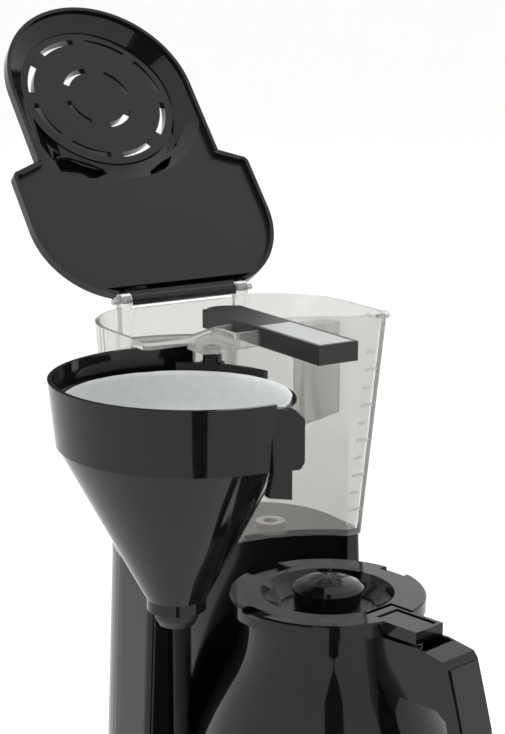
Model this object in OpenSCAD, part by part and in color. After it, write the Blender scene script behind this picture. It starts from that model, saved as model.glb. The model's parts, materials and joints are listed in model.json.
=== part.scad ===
// Drip coffee maker with a swing-out filter holder and a vacuum jug.
// Origin on the floor, midway across the width. +X right, -Y front, +Z up. Millimetres.

/* [Machine] */
// Half of the width of the foot of the machine
base_half_w = 74; // [70:1:90]
// Height of the base deck that the jug stands on
base_h = 32; // [28:1:40]
// Distance from the origin to the back of the machine
rear_y = 112; // [104:1:130]
// Corner radius at the back, seen from above
rear_r = 50; // [44:1:54]
// Thickness of the housing walls
wall = 2.5; // [2:0.1:3]
// Distance from the origin forward to the jug's axis
jug_y = -28; // [-32:0.5:-24]
// Radius of the hollow front of the column
bay_r = 80; // [77:0.5:84]
// Front of the column's two front corners
column_front_y = 33; // [30:1:38]
// Half width of the column where the tank stands on it
waist_half_w = 64.5; // [62:0.5:68]

/* [Water tank] */
// Height of the tank's floor above the table
tank_z = 202; // [196:1:208]
// Height of the tank
tank_h = 121; // [104:1:132]
// Half width of the tank at its rim
rim_half_w = 72.5; // [68:0.5:76]
// Front of the tank's two front corners at its rim
rim_front_y = 21.5; // [20:0.5:26]
// Radius of the hollow front of the tank at its rim
rim_bay_r = 68; // [66:0.5:74]
// Wall thickness of the tank
tank_wall = 2.2; // [1.8:0.1:2.8]
// Outer radius of the riser tube
riser_r = 5; // [4:0.25:6]
// Distance from the origin back to the riser tube and the tank outlet
riser_y = 64; // [60:1:68]
// Sideways place of the tank outlet
outlet_x = 26; // [22:1:32]

/* [Lid] */
// How far the lid stands open as shown
lid_open = 130.8; // [0:0.1:130.8]
// Half width of the lid over the tank
lid_half_w = 73.8; // [70:0.2:78]
// Half width of the lid over the filter
lid_nose_w = 56.6; // [54:0.2:60]
// Distance of the lid's shoulders from its hinge
lid_shoulder = 87.5; // [80:0.5:92]
// Height of the crown of the lid above the hinge axis
lid_rise = 12.4; // [10:0.2:14]
// Height of the lid's outer edge above the hinge axis
lid_edge_rise = 2.8; // [2:0.2:4]
// Thickness of the lid's skin
lid_skin = 2.2; // [1.8:0.1:2.6]
// Thickness of the lid's hanging edge
lid_edge = 2.2; // [1.8:0.1:2.6]
// Hinge pin radius
hinge_pin_r = 1.6; // [1.4:0.1:1.8]

/* [Filter holder] */
// How far the filter holder stands swung out as shown
filter_open = 98.6; // [0:0.1:98.6]
// Height of the rim of the outer band
band_top = 318.4; // [310:0.2:320]
// Height of the outer band
band_h = 30; // [24:1:34]
// Outer radius of the band at its rim
band_r = 66.1; // [64:0.1:68]
// How much narrower the band is at its foot
band_taper = 3; // [1:0.5:4]
// Set-back of the band's axis from the cone's axis
band_back = 9.6; // [8:0.2:11]
// Outer radius of the cone's mouth
mouth_r = 55; // [53:0.2:57]
// Radius of the cone where it meets the outlet collar
throat_r = 14.2; // [12:0.2:16]
// Height of the throat above the table
throat_z = 214.6; // [212:0.2:220]
// Wall thickness of the holder
cup_wall = 2.2; // [1.8:0.1:2.6]
// Sideways place of the swing pivot
pivot_x = -43.3; // [-44:0.1:-42]
// Fore and aft place of the swing pivot
pivot_y = 8.4; // [7:0.1:10]
// Radius of the pivot pin
pivot_pin_r = 2.2; // [1.8:0.1:2.3]
// Travel of the drip stop
drip_travel = 9.2; // [6:0.1:10]

/* [Jug] */
// Turn of the jug's handle away from straight ahead
jug_turn = 11; // [0:1:20]
// Height of the jug's lid ring above the table
jug_top = 200; // [192:0.5:200]
// Outer radius of the lid ring
lid_ring_r = 48.3; // [46:0.1:49]
// Largest radius of the jug
belly_r = 70; // [66:0.5:70]
// Radius of the neck
neck_r = 43; // [40:0.5:44]
// Wall thickness of the jug's outer shell
jug_wall = 2.4; // [2:0.1:3]
// Radius of the knob in the jug's lid
knob_r = 17.8; // [15:0.2:19]
// Half width of the handle
handle_half_w = 11; // [9:0.5:13]
// Radius of the thumb lever's pin
lever_pin_r = 1.5; // [1.2:0.1:1.8]

/* [Fits] */
// Clearance all round between parts that move past each other
gap = 0.3; // [0.25:0.05:0.5]
// Clearance all round a pin in its hole
pin_gap = 0.05; // [0.03:0.01:0.08]

/* [Hidden] */
$fn = 96;
far = 400;                                  // longer than any part, for cutting
foot_h = 5;                                 // rubber feet under the base
tank_top = tank_z + tank_h;                 // rim of the tank
hinge_y = rear_y - 2;                       // lid hinge axis
hinge_z = tank_top + 3;
lid_top = hinge_z + lid_rise;               // top of the closed lid
nose_bottom = hinge_z - 2.9;                // lower edge of the lid over the filter
skirt_bottom = tank_top + 0.6;              // the closed lid's rear edge clears the tank rim
crown_inset = 14;                           // how far the crown stands in from the lid's edge
vent_r = 46;                                // vent plate in the lid
vent_t = 5.2;
edge_gap = lid_edge_rise - lid_skin + 0.4;  // straight part of the lid's inside above its panel
liner_z = hinge_z + 0.6;                    // inner face of the lid's panel
barrel_x = 36;                              // middle of each hinge barrel
barrel_half = 3;                            // half of a barrel's length
barrel_r = 3.8;
band_y = jug_y + band_back;                 // axis of the outer band when closed
band_end_a = 9.9;                           // where the band ends on the right
band_cut_a = 158.6;                         // where it ends behind the pivot
band_foot = band_top - band_h;
cone_slope = (mouth_r - throat_r) / (292 - throat_z);
mouth_z = throat_z + (mouth_r - throat_r) / cone_slope;
rim_low = band_top - 9.6;                   // mouth wall that passes under the spout
rim_high = band_top - 5.2;                  // mouth wall beside the pivot
collar_z = throat_z - 5.6;                  // foot of the outlet collar
seat_z = throat_z + 13;                     // seat of the drip stop inside the cone
plunger_r = 10.2;
plunger_z = collar_z - 9;                   // tip of the drip stop
spout_x = -1.3;                             // middle of the spout arm
spout_half_w = 11.2;
spout_front_y = -37;
spout_top = hinge_z - 0.4;
spout_h = 9.5;
spout_bottom = spout_top - spout_h;
cover_back_y = 18;                          // back end of the pale cover on the arm
plate_z = band_top + 1.2;                   // underside of the clear pivot plate
plate_t = 1.8;
lower_z = 262;                              // lower bearing of the swing pivot
boss_r = 6;                                 // filter holder's pivot boss
deck_z = base_h - wall;
jug_z = base_h + 1.3;                       // underside of the jug
ring_t = 7.5;                               // depth of the jug's lid ring
dish_r = 32.8;                              // hollow in the lid ring
knob_top = jug_top + 7.2;
lever_top = jug_top - 0.6;
lever_t = 6.2;
lever_pin_d = 40;                           // lever pin from the jug's axis
lever_pin_z = lever_top - 3.2;
switch_x = base_half_w;                     // rocker in the base's right side
switch_y = -2;
switch_z = 18;
heater_z = 17;
hose_r = 6.5;
stub_r = 4;
screw_r = 1.7;
screw_y = [-62, 88];
screw_x = 40;

module half_round(r) {
    intersection() {
        circle(r);
        translate([-r, 0]) square([2 * r, r]);
    }
}

// A plan is [half width, front y, back y, front corner radius, back corner radius]
module body_plan(p) {
    hull() for (s = [-1, 1]) {
        translate([s * (p[0] - p[3]), p[1] + p[3]]) circle(p[3], $fn = 32);
        translate([s * (p[0] - p[4]), p[2] - p[4]]) half_round(p[4], $fn = 64);
    }
}

// The same plan made of exact arcs, for straight-sided parts
module exact_plan(half_w, y0, y1, front_r, back_r) {
    for (s = [-1, 1]) {
        translate([s * (half_w - front_r), y0 + front_r]) circle(front_r);
        translate([s * (half_w - back_r), y1 - back_r]) half_round(back_r);
    }
    translate([-half_w + front_r, y0]) square([2 * (half_w - front_r), y1 - y0 - back_r]);
    translate([-half_w, y0 + front_r]) square([2 * half_w, y1 - y0 - front_r - back_r]);
    translate([-half_w + back_r, y1 - back_r - 1]) square([2 * (half_w - back_r), back_r + 1]);
}

// A body that leans from one plan at its foot to another at its top
module leaning_body(z0, plan0, z1, plan1) {
    hull() {
        translate([0, 0, z0]) linear_extrude(0.1) body_plan(plan0);
        translate([0, 0, z1 - 0.1]) linear_extrude(0.1) body_plan(plan1);
    }
}

// A straight round bar between two heights
module rod(x, y, z0, z1, r) {
    translate([x, y, z0]) cylinder(h = z1 - z0, r = r);
}

// A round tube between two heights
module tube(x, y, z0, z1, r_out, r_in) {
    difference() {
        rod(x, y, z0, z1, r_out);
        rod(x, y, z0 - 1, z1 + 1, r_in);
    }
}

// A bar lying across the machine
module cross_rod(x0, x1, y, z, r) {
    translate([x0, y, z]) rotate([0, 90, 0]) cylinder(h = x1 - x0, r = r);
}

// A pie slice from angle a0 to a1, for cutting rings
module sector(a0, a1, r) {
    steps = 8;
    polygon(concat([[0, 0]], [for (i = [0:steps]) let (a = a0 + (a1 - a0) * i / steps)
        [r * cos(a), r * sin(a)]]));
}

// Where the lid, filter holder and jug stand in the resting pose
module lid_place() {
    translate([0, hinge_y, hinge_z]) rotate([-lid_open, 0, 0])
        translate([0, -hinge_y, -hinge_z]) children();
}
module filter_place() {
    translate([pivot_x, pivot_y, 0]) rotate([0, 0, -filter_open])
        translate([-pivot_x, -pivot_y, 0]) children();
}
module jug_place() {
    translate([0, jug_y, 0]) rotate([0, 0, jug_turn]) children();
}

// ---- base ----
module base_plan(inset) {
    translate([0, jug_y]) circle(base_half_w + 2 - inset, $fn = 128);
    exact_plan(base_half_w - inset, jug_y, rear_y - inset, 4, rear_r);
}
module base_housing() {
    color("#1c1c1d") difference() {
        translate([0, 0, foot_h - 1.5]) linear_extrude(base_h - foot_h + 1.5) base_plan(0);
        translate([0, 0, foot_h - 2.5]) linear_extrude(deck_z - foot_h + 2.5) base_plan(wall);
        translate([-44, 52, deck_z - 1]) cube([88, 48, 9]);
        translate([switch_x - 12, switch_y - 10.6, switch_z - 6.6]) cube([24, 21.2, 13.2]);
        translate([switch_x - 1, switch_y - 12, switch_z - 8]) cube([9, 24, 16]);
        translate([0, rear_y + 2, 14]) rotate([90, 0, 0]) cylinder(h = 8, r = 5.2);
        translate([0, jug_y, base_h - 0.8]) cylinder(h = 3, r = 56.2);
    }
}
module bottom_cover() {
    color("#222223") difference() {
        translate([0, 0, foot_h - 1.5]) linear_extrude(wall) base_plan(wall + gap);
        for (x = [-screw_x, screw_x], y = screw_y) rod(x, y, 0, 10, screw_r + 0.3);
    }
}
module rubber_feet() {
    color("#101010") for (x = [-54, 54], y = [-58, 78])
        rod(x, y, 0, foot_h - 1.5, 8);
    color("#101010") rod(0, 0, 0, foot_h - 1.5, 6);
}
module housing_screws() {
    color("#b8b8ba") for (x = [-screw_x, screw_x], y = screw_y) {
        rod(x, y, foot_h - 3.3, foot_h - 1.5, 3.2);
        rod(x, y, foot_h - 1.5, foot_h + 9, screw_r);
    }
}
module jug_rest() {
    color("#2a2a2b") difference() {
        rod(0, jug_y, base_h - 0.8, base_h + 0.9, 56);
        rod(0, jug_y, base_h + 0.2, base_h + 2, 52);
    }
}
module cord_gland() {
    color("#161616") difference() {
        translate([0, rear_y + 4, 14]) rotate([90, 0, 0]) union() {
            cylinder(h = 9, r = 5);
            cylinder(h = 4, r = 8);
            translate([0, 0, 6.6]) cylinder(h = 2.4, r = 6.4);
        }
        translate([0, rear_y + 5, 14]) rotate([90, 0, 0]) cylinder(h = 12, r = 3.4);
    }
}

// ---- column ----
function column_plan(half_w, inset) = [half_w - inset, column_front_y + inset, rear_y - inset,
    4 - inset, rear_r - inset];
module column_housing() {
    color("#1c1c1d") difference() {
        leaning_body(base_h, column_plan(base_half_w - 2, 0), tank_z, column_plan(waist_half_w, 0));
        difference() {
            leaning_body(base_h - 1, column_plan(base_half_w - 2, wall),
                tank_z - wall, column_plan(waist_half_w, wall));
            rod(0, jug_y, 0, far, bay_r + 2 * wall);
        }
        rod(0, jug_y, 0, far, bay_r + wall);
        for (x = [spout_x, outlet_x]) rod(x, riser_y, tank_z - 10, tank_z + 1, 9.4);
    }
}
module column_front() {
    half_a = asin((bay_r - 28.8) / bay_r);
    color("#151515") translate([0, jug_y, base_h]) intersection() {
        difference() {
            cylinder(h = tank_z - base_h, r = bay_r + wall);
            translate([0, 0, -1]) cylinder(h = far, r = bay_r);
        }
        linear_extrude(tank_z - base_h) sector(90 - half_a, 90 + half_a, bay_r + 20);
    }
}

// ---- water heater and hoses ----
module heater_block() {
    color("#b4b6b8") difference() {
        union() {
            translate([-38, riser_y - 9, heater_z - 7]) cube([80, 18, 8]);
            cross_rod(-38, 42, riser_y, heater_z, 9);
            for (x = [spout_x, outlet_x]) rod(x, riser_y, heater_z, heater_z + 16, stub_r);
        }
        for (x = [spout_x, outlet_x]) rod(x, riser_y, heater_z, heater_z + 20, stub_r - 1.2);
        cross_rod(-34, 38, riser_y, heater_z, 4);
    }
}
module thermostat() {
    color("#d8d4c8") rod(-22, riser_y, heater_z + 9, heater_z + 14, 7.5);
}
module thermal_fuse() {
    color("#c9b27a") cross_rod(-34, -14, riser_y + 12, heater_z - 1, 2.6);
}
module hose(x, z1) {
    tube(x, riser_y, heater_z + 9.3, z1, hose_r, stub_r);
}
module inlet_hose() { color("#d9d5cc") hose(outlet_x, tank_z - 12); }
module outlet_hose() { color("#d9d5cc") hose(spout_x, tank_z - 6); }
module check_valve() {
    color("#3c6ea0") tube(outlet_x, riser_y, tank_z - 12, tank_z - 6.2, hose_r, stub_r - 1);
}

// ---- switch ----
module switch_bezel() {
    color("#121212") difference() {
        union() {
            translate([switch_x - 1, switch_y - 12, switch_z - 8]) cube([2.6, 24, 16]);
            translate([switch_x - 9, switch_y - 10.4, switch_z - 6.4]) cube([9, 20.8, 12.8]);
        }
        translate([switch_x - 8.2, switch_y - 9, switch_z - 5]) cube([13, 18, 10]);
    }
}
module power_switch() {
    r = 9 - 2 * gap;
    color("#26262a") intersection() {
        translate([switch_x - 5.4, switch_y, switch_z - 5 + gap]) cylinder(h = 10 - 2 * gap, r = r);
        translate([switch_x - 5, switch_y - 9, switch_z - 8]) cube([9, 18, 20]);
        translate([switch_x - 5, switch_y, 0]) rotate([0, 0, 8])
            translate([-20, -20, 0]) cube([26.5, 40, 40]);
    }
}
module switch_lamp() {
    color("#a81c14") translate([switch_x - 8.2, switch_y - 3, switch_z - 3]) cube([1.6, 6, 6]);
}

// ---- tank ----
foot_front_y = column_front_y - 2;
// How far up the tank a height lies, from 0 at its foot to 1 at its rim
function rise(z) = (z - tank_z) / tank_h;
function tank_plan(z, inset) = [waist_half_w + (rim_half_w - waist_half_w) * rise(z) - inset,
    foot_front_y + (rim_front_y - foot_front_y) * rise(z) + inset, rear_y - inset, 4,
    rear_r + 1 - inset];
module tank_form(z0, z1, inset) {
    leaning_body(z0, tank_plan(z0, inset), z1, tank_plan(z1, inset));
}
module tank_bay(extra) {
    slope = (rim_bay_r - bay_r) / tank_h;
    translate([0, jug_y, tank_z - 5]) cylinder(h = tank_h + 10,
        r1 = bay_r + extra - 5 * slope, r2 = rim_bay_r + extra + 5 * slope, $fn = 160);
}
// The space the swung-out filter holder fills at the tank's left front corner
module swing_recess(extra) {
    filter_place() rod(0, band_y, band_foot - 2.4 - extra, band_top + 1, band_r + 1.2 + extra);
}
module tank() {
    color("#d6dad8", 0.4) difference() {
        union() {
            difference() {
                tank_form(tank_z, tank_top, 0);
                difference() {
                    tank_form(tank_z + 3, tank_top + 2, tank_wall);
                    tank_bay(tank_wall);
                    swing_recess(tank_wall);
                    translate([0, 0, tank_top - band_foot]) swing_recess(tank_wall);
                }
            }
            for (s = [-1, 1]) translate([s * barrel_x - barrel_half, 0, 0]) {
                translate([0, rear_y - 6.5, hinge_z - 34]) cube([2 * barrel_half, 8.3, 31]);
                translate([0, hinge_y - barrel_r, tank_top - 3.1])
                    cube([2 * barrel_half, 2 * barrel_r, 6]);
                translate([0, hinge_y, hinge_z]) rotate([0, 90, 0])
                    cylinder(h = 2 * barrel_half, r = barrel_r);
            }
            translate([rim_half_w - 4.5, rim_front_y + 4, tank_top - 2.2]) cylinder(h = 2.2, r = 6.2);
        }
        tank_bay(0);
        swing_recess(0);
        translate([spout_x - spout_half_w, 30, spout_bottom]) cube([2 * spout_half_w, 20, spout_h + 1]);
        translate([-barrel_x + barrel_half, rear_y - 9, tank_top - 1.8])
            cube([2 * (barrel_x - barrel_half), 12, 9]);
        cross_rod(-60, 60, hinge_y, hinge_z, hinge_pin_r);
        for (x = [spout_x, outlet_x]) rod(x, riser_y, tank_z - 1, tank_z + 5, 8);
        translate([rim_half_w - 2, rim_front_y + 2.6, tank_top - 5]) cylinder(h = 6, r = 1.6);
    }
}
module tank_grommets() {
    color("#d9d5cc") {
        tube(spout_x, riser_y, tank_z - 1.5, tank_z + 5, 8, riser_r);
        tube(outlet_x, riser_y, tank_z - 6.2, tank_z + 5, 8, 4);
    }
}
module riser_tube() {
    color("#e4e4e0") tube(spout_x, riser_y, tank_z - 6, spout_bottom + 3, riser_r, riser_r - 1.3);
}
module level_scale() {
    step = 9.6;
    color("#9a9c9b") for (i = [0:9]) let (z = tank_z + 14 + i * step, plan = tank_plan(z, 0))
        translate([plan[0] - 12, plan[1] - 0.55, z]) cube([i % 2 == 0 ? 7.5 : 4.5, 0.455, 1.2]);
}

// ---- spout arm over the filter ----
module spout_arm() {
    y1 = riser_y + 9;
    color("#161616") difference() {
        union() {
            translate([spout_x - spout_half_w, spout_front_y, spout_bottom])
                cube([2 * spout_half_w, y1 - spout_front_y - 4, spout_h]);
            rod(spout_x, riser_y - 2, spout_bottom, spout_top, spout_half_w);
        }
        translate([spout_x - spout_half_w + 2, spout_front_y + 2, spout_bottom + 2])
            cube([2 * spout_half_w - 4, riser_y - spout_front_y + 4, spout_h - 4.4]);
        translate([spout_x - spout_half_w + 2, spout_front_y + 2, spout_bottom + 2])
            cube([2 * spout_half_w - 4, cover_back_y - spout_front_y - 2, spout_h]);
        rod(spout_x, riser_y, spout_bottom - 1, spout_bottom + 5, riser_r);
        for (i = [-1, 1], j = [0:2])
            rod(spout_x + i * 4.5, spout_front_y + 6 + j * 5, spout_bottom - 1, spout_bottom + 4, 1.2);
    }
}
module spout_cover() {
    color("#d4d6d6") translate([spout_x - spout_half_w + 2, spout_front_y + 2, spout_top - 1.6])
        cube([2 * spout_half_w - 4, cover_back_y - spout_front_y - 2, 1.6]);
}
module spout_bracket() {
    web_h = hinge_z - plate_z + 1.2;
    color("#cfd4d2", 0.5) difference() {
        intersection() {
            union() {
                translate([0, 0, plate_z]) linear_extrude(plate_t) polygon([[-53.6, -0.5], [-40.4, -5],
                    [-26, 14], [-26, 42], [-53.6, 42]]);
                translate([-28, 13, plate_z - 3.2]) cube([3, 30, web_h]);
                translate([-26, 14, plate_z - 3.2]) cube([spout_x - spout_half_w + 26, 2.4, web_h]);
            }
            tank_bay(0);
        }
        rod(pivot_x, pivot_y, plate_z - 4, plate_z + 9, pivot_pin_r);
    }
}
module lower_bracket() {
    color("#161616") difference() {
        intersection() {
            translate([0, 0, lower_z - 4]) linear_extrude(4) union() {
                translate([pivot_x, pivot_y]) circle(boss_r);
                translate([pivot_x, pivot_y]) rotate([0, 0, 140])
                    translate([0, -boss_r]) square([40, 2 * boss_r]);
            }
            tank_bay(0);
        }
        rod(pivot_x, pivot_y, lower_z - 9, lower_z + 9, pivot_pin_r);
    }
}
module swing_pin() {
    color("#a9abad") rod(pivot_x, pivot_y, lower_z - 4, plate_z + plate_t, pivot_pin_r);
}
module hinge_pins() {
    color("#a9abad") for (s = [-1, 1])
        cross_rod(s * barrel_x - 7, s * barrel_x + 7, hinge_y, hinge_z, hinge_pin_r);
}

// ---- lid, drawn closed ----
module lid_rear_plan(inset) {
    front_y = hinge_y - lid_shoulder + 3 + inset;
    exact_plan(lid_half_w - inset, front_y, hinge_y - 1 - inset, max(4 - inset, 1), 48 - inset);
    polygon([[inset - lid_nose_w, front_y - 5.5], [lid_nose_w - inset, front_y - 5.5],
        [lid_half_w - 3.4 - inset, front_y + 0.1], [3.4 + inset - lid_half_w, front_y + 0.1]]);
}
module lid_nose_plan(inset) {
    nose_y = jug_y + 0.5;
    translate([0, nose_y]) circle(lid_nose_w - inset, $fn = 128);
    translate([-lid_nose_w + inset, nose_y])
        square([2 * (lid_nose_w - inset), hinge_y - lid_shoulder - nose_y + 8]);
}
// The lid's crowned top, from its edge up; inset makes the same form smaller for hollowing
module lid_crown(inset) {
    edge_z = hinge_z + lid_edge_rise - inset;
    crown_z = lid_top - inset;
    for (part = [0, 1]) hull() for (step = [0, 1])
        translate([0, 0, step == 0 ? edge_z - 0.1 : crown_z - 0.1]) linear_extrude(0.1)
            if (part == 0) lid_rear_plan(inset + step * crown_inset);
            else lid_nose_plan(inset + step * crown_inset);
}
module lid_shell() {
    edge_z = hinge_z + lid_edge_rise;
    color("#1a1a1b") lid_place() difference() {
        union() {
            translate([0, 0, skirt_bottom]) linear_extrude(edge_z - skirt_bottom) lid_rear_plan(0);
            difference() {
                translate([0, 0, nose_bottom]) linear_extrude(edge_z - nose_bottom) lid_nose_plan(0);
                translate([-far / 2, hinge_y - lid_shoulder - 2.5, 0]) cube([far, far, skirt_bottom]);
            }
            lid_crown(0);
            cross_rod(-barrel_x + barrel_half + gap, barrel_x - barrel_half - gap, hinge_y, hinge_z, 2.9);
            translate([-barrel_x + barrel_half + gap, hinge_y - 4, hinge_z])
                cube([2 * (barrel_x - barrel_half - gap), 5.4, 4]);
        }
        translate([0, 0, nose_bottom - 1]) linear_extrude(edge_z - lid_skin - nose_bottom + 1)
            difference() {
                union() {
                    lid_rear_plan(lid_edge);
                    lid_nose_plan(lid_edge);
                }
                translate([-barrel_x + barrel_half, hinge_y - 4])
                    square([2 * (barrel_x - barrel_half), 9]);
            }
        difference() {
            lid_crown(lid_skin);
            translate([-barrel_x + barrel_half, hinge_y - 4, 0])
                cube([2 * (barrel_x - barrel_half), 9, far]);
        }
        rod(0, jug_y + 1, nose_bottom, lid_top + 1, vent_r);
        for (s = [-1, 1]) translate([s * barrel_x - barrel_half - 1, hinge_y - barrel_r - 1, hinge_z - 9])
            cube([2 * barrel_half + 2, 9, lid_rise + 20]);
        cross_rod(-60, 60, hinge_y, hinge_z, hinge_pin_r + pin_gap);
    }
}
module lid_liner() {
    panel_t = 1.8;
    vent_y = jug_y + 1;
    wide_r = vent_r + 14;
    color("#202021") lid_place() difference() {
        intersection() {
            union() {
                lid_crown(lid_skin);
                translate([0, 0, liner_z - 1]) linear_extrude(edge_gap) {
                    lid_rear_plan(lid_edge);
                    lid_nose_plan(lid_edge);
                }
            }
            union() {
                difference() {
                    translate([-far / 2, hinge_y - 9 - far, liner_z]) cube([far, far, panel_t]);
                    rod(0, vent_y, 0, far, wide_r);
                }
                // sloping wall down to the vent plate
                difference() {
                    translate([0, vent_y, 0]) rotate_extrude() polygon([[wide_r, liner_z],
                        [wide_r + 2.4, liner_z], [wide_r + 2.4, liner_z + panel_t],
                        [vent_r + 3.4, lid_top - vent_t], [vent_r + 1, lid_top - vent_t]]);
                    translate([-far / 2, vent_y + 24 - far, 0]) cube([far, far, far]);
                }
            }
        }
        // open pockets beside the vent plate, as [x, distance from the hinge]
        for (pocket = [[[-53.7, 114.7], [-48.2, 115.3], [-40.8, 114], [-35.8, 107.8], [-38.9, 96.3],
                [-46, 91.5]],
            [[-45.2, 92.5], [-43.9, 84.1], [-34.2, 79.2], [-23.9, 78.2], [-16.1, 81.1], [-15.8, 86],
                [-22.8, 91.3], [-34, 95]],
            [[50, 116.8], [41.8, 115.5], [33.6, 105.8], [28.2, 94], [36.6, 99.5], [44.2, 109.2]],
            [[29.8, 91.8], [24.1, 84.2], [16.4, 78.8], [10, 78.1], [10.8, 81.2], [21.9, 88.4]]])
            translate([0, 0, liner_z - 3]) linear_extrude(lid_rise + 9)
                polygon([for (p = pocket) [p[0], hinge_y - p[1]]]);
    }
}
// One ring of curved slots
module slot_ring(r, w, count, fill, turn) {
    difference() {
        circle(r + w / 2);
        circle(r - w / 2);
        for (i = [0:count - 1]) rotate(turn + 360 / count * (i + fill))
            sector(0, 360 / count * (1 - fill), r * 2);
    }
}
module vent_plate() {
    color("#1a1a1b") lid_place() translate([0, jug_y + 1, 0]) difference() {
        translate([0, 0, lid_top - vent_t]) cylinder(h = vent_t, r = vent_r);
        translate([0, 0, lid_top - 9]) linear_extrude(12) slot_ring(39.8, 3.4, 8, 0.76, 8);
        translate([0, 0, lid_top - 9]) linear_extrude(12) slot_ring(19.1, 3.4, 4, 0.62, 30);
    }
}

// ---- filter holder, drawn closed ----
module band_ring(z0, z1, r0, r1, t) {
    translate([0, band_y, 0]) difference() {
        rotate_extrude() polygon([[r0 - t, z0], [r0, z0], [r1, z1], [r1 - t, z1]]);
        translate([0, 0, z0 - 1]) linear_extrude(z1 - z0 + 2) sector(band_end_a, band_cut_a, 120);
    }
}
module filter_holder() {
    floor_z = mouth_z;
    foot_r = band_r - band_taper;
    color("#1a1a1b") filter_place() difference() {
        union() {
            // cone, throat and mouth wall, kept inside the outer band
            difference() {
                translate([0, jug_y, 0]) rotate_extrude() polygon([[throat_r - cup_wall, collar_z],
                    [throat_r - 0.4, collar_z], [throat_r - 0.4, throat_z], [throat_r, throat_z],
                    [mouth_r, mouth_z], [mouth_r, rim_low], [mouth_r - cup_wall, rim_low],
                    [mouth_r - cup_wall, mouth_z + 0.6], [throat_r - cup_wall, throat_z + 2]]);
                translate([0, band_y, 0]) rotate_extrude() polygon([[foot_r, band_foot],
                    [band_r, band_top],
                    [120, band_top], [120, band_foot]]);
            }
            // raised wall beside the pivot
            translate([0, jug_y, 0]) difference() {
                rod(0, 0, rim_low - 0.1, rim_high, mouth_r);
                rod(0, 0, rim_low - 1, rim_high + 1, mouth_r - cup_wall);
                translate([0, 0, rim_low - 1]) linear_extrude(9) sector(158, 466, 120);
            }
            band_ring(band_foot, band_top, foot_r, band_r, cup_wall);
            // ledge between band and mouth
            difference() {
                translate([0, band_y, band_foot]) cylinder(h = 2.2, r = foot_r);
                rod(0, jug_y, band_foot - 1, band_foot + 9, mouth_r - 2.4);
                translate([0, band_y, band_foot - 1]) linear_extrude(9)
                    sector(band_end_a, band_cut_a, 120);
            }
            // latch tab at the end of the band
            translate([band_r - 6.4, jug_y, 0]) rotate([90, 0, 90]) linear_extrude(4.4)
                polygon([[18.5, band_top - 1.5], [30, band_top - 3.5], [34.5, band_top - 8],
                    [34.5, band_foot + 3], [32.5, band_foot], [28.6, band_foot], [28.6, band_foot - 13],
                    [17.5, band_foot - 11], [20, band_foot]]);
            // pivot boss
            rod(pivot_x, pivot_y, lower_z + gap, rim_high, boss_r);
            rod(pivot_x, pivot_y, lower_z + gap, plate_z - gap, 4.6);
            translate([pivot_x, pivot_y, lower_z + gap]) rotate([0, 0, -40])
                translate([0, -1.5, 0]) cube([22, 3, band_foot - lower_z + 2]);
        }
        // clear the inside again
        translate([0, jug_y, 0]) rotate_extrude() polygon([[0, collar_z - 1],
            [throat_r - cup_wall, collar_z - 1], [throat_r - cup_wall, throat_z + 2],
            [mouth_r - cup_wall, mouth_z + 0.6], [mouth_r - cup_wall, band_top + 9], [0, band_top + 9]]);
        rod(pivot_x, pivot_y, lower_z - 1, far, pivot_pin_r + pin_gap);
    }
    // seat of the drip stop
    color("#1a1a1b") filter_place() translate([0, jug_y, 0])
        tube(0, 0, seat_z, seat_z + 1.6, throat_r - cup_wall + cone_slope * (seat_z - throat_z)
            + 0.4, 3.4);
}
module drip_plunger() {
    color("#141414") filter_place() translate([0, jug_y, 0]) rotate_extrude() polygon([
        [0, plunger_z], [plunger_r - 5, plunger_z], [plunger_r - 2, plunger_z + 1.4],
        [plunger_r, plunger_z + 5], [plunger_r, throat_z - 2], [4, throat_z - 2],
        [2.2, throat_z + 2], [2.2, seat_z + 4], [0, seat_z + 4]]);
}
module drip_spring() {
    color("#b9bbbd") filter_place() translate([0, jug_y, 0])
        tube(0, 0, throat_z - 2, seat_z, 5.2, 4.1);
}
module drip_seal() {
    color("#3a3a3a") filter_place() translate([0, jug_y, 0])
        tube(0, 0, seat_z + 1.6, seat_z + 3.4, 6, 2.2);
}
module paper_filter() {
    slack = 0.35;
    top_z = rim_low + 2;
    r1 = mouth_r - cup_wall - slack;
    z0 = throat_z + 30;
    z1 = mouth_z + 0.6;
    r0 = throat_r - cup_wall - slack + (z0 - throat_z - 2) * (mouth_r - throat_r) / (z1 - throat_z - 2);
    color("#f0f0ec") filter_place() translate([0, jug_y, 0]) rotate_extrude() polygon([
        [0, z0], [r0, z0], [r1, z1], [r1, top_z], [r1 - 0.8, top_z], [r1 - 0.8, z1 + 0.2],
        [r0 - 0.6, z0 + 0.8], [0, z0 + 0.8]]);
}

// ---- jug, drawn about its own axis with the handle towards -Y ----
function jug_outline(t) = [
    [56, jug_z + 8], [62, jug_z + 13], [66.5, jug_z + 26], [belly_r - 0.8, jug_z + 42],
    [belly_r, jug_z + 58],
    [belly_r - 1.2, jug_z + 74], [belly_r - 3.2, jug_z + 86], [65.2, jug_z + 94], [56.5, jug_z + 112.6],
    [50.5, jug_z + 124.5], [46, jug_z + 133.2], [neck_r + 0.6, jug_z + 139], [neck_r, jug_z + 144]];
module jug_shell() {
    outline = jug_outline(0);
    color("#1b1b1c") jug_place() difference() {
        rotate_extrude() polygon(concat([[0, jug_z + 8]], outline, [[neck_r, jug_top - ring_t],
            [0, jug_top - ring_t]]));
        rotate_extrude() polygon(concat([[0, jug_z + 8 + jug_wall], [53, jug_z + 8 + jug_wall]],
            [for (i = [1:12]) [outline[i][0] - jug_wall, outline[i][1] + (i < 4 ? 1 : 0)]],
            [[neck_r - jug_wall, jug_top], [0, jug_top]]));
    }
}
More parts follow.
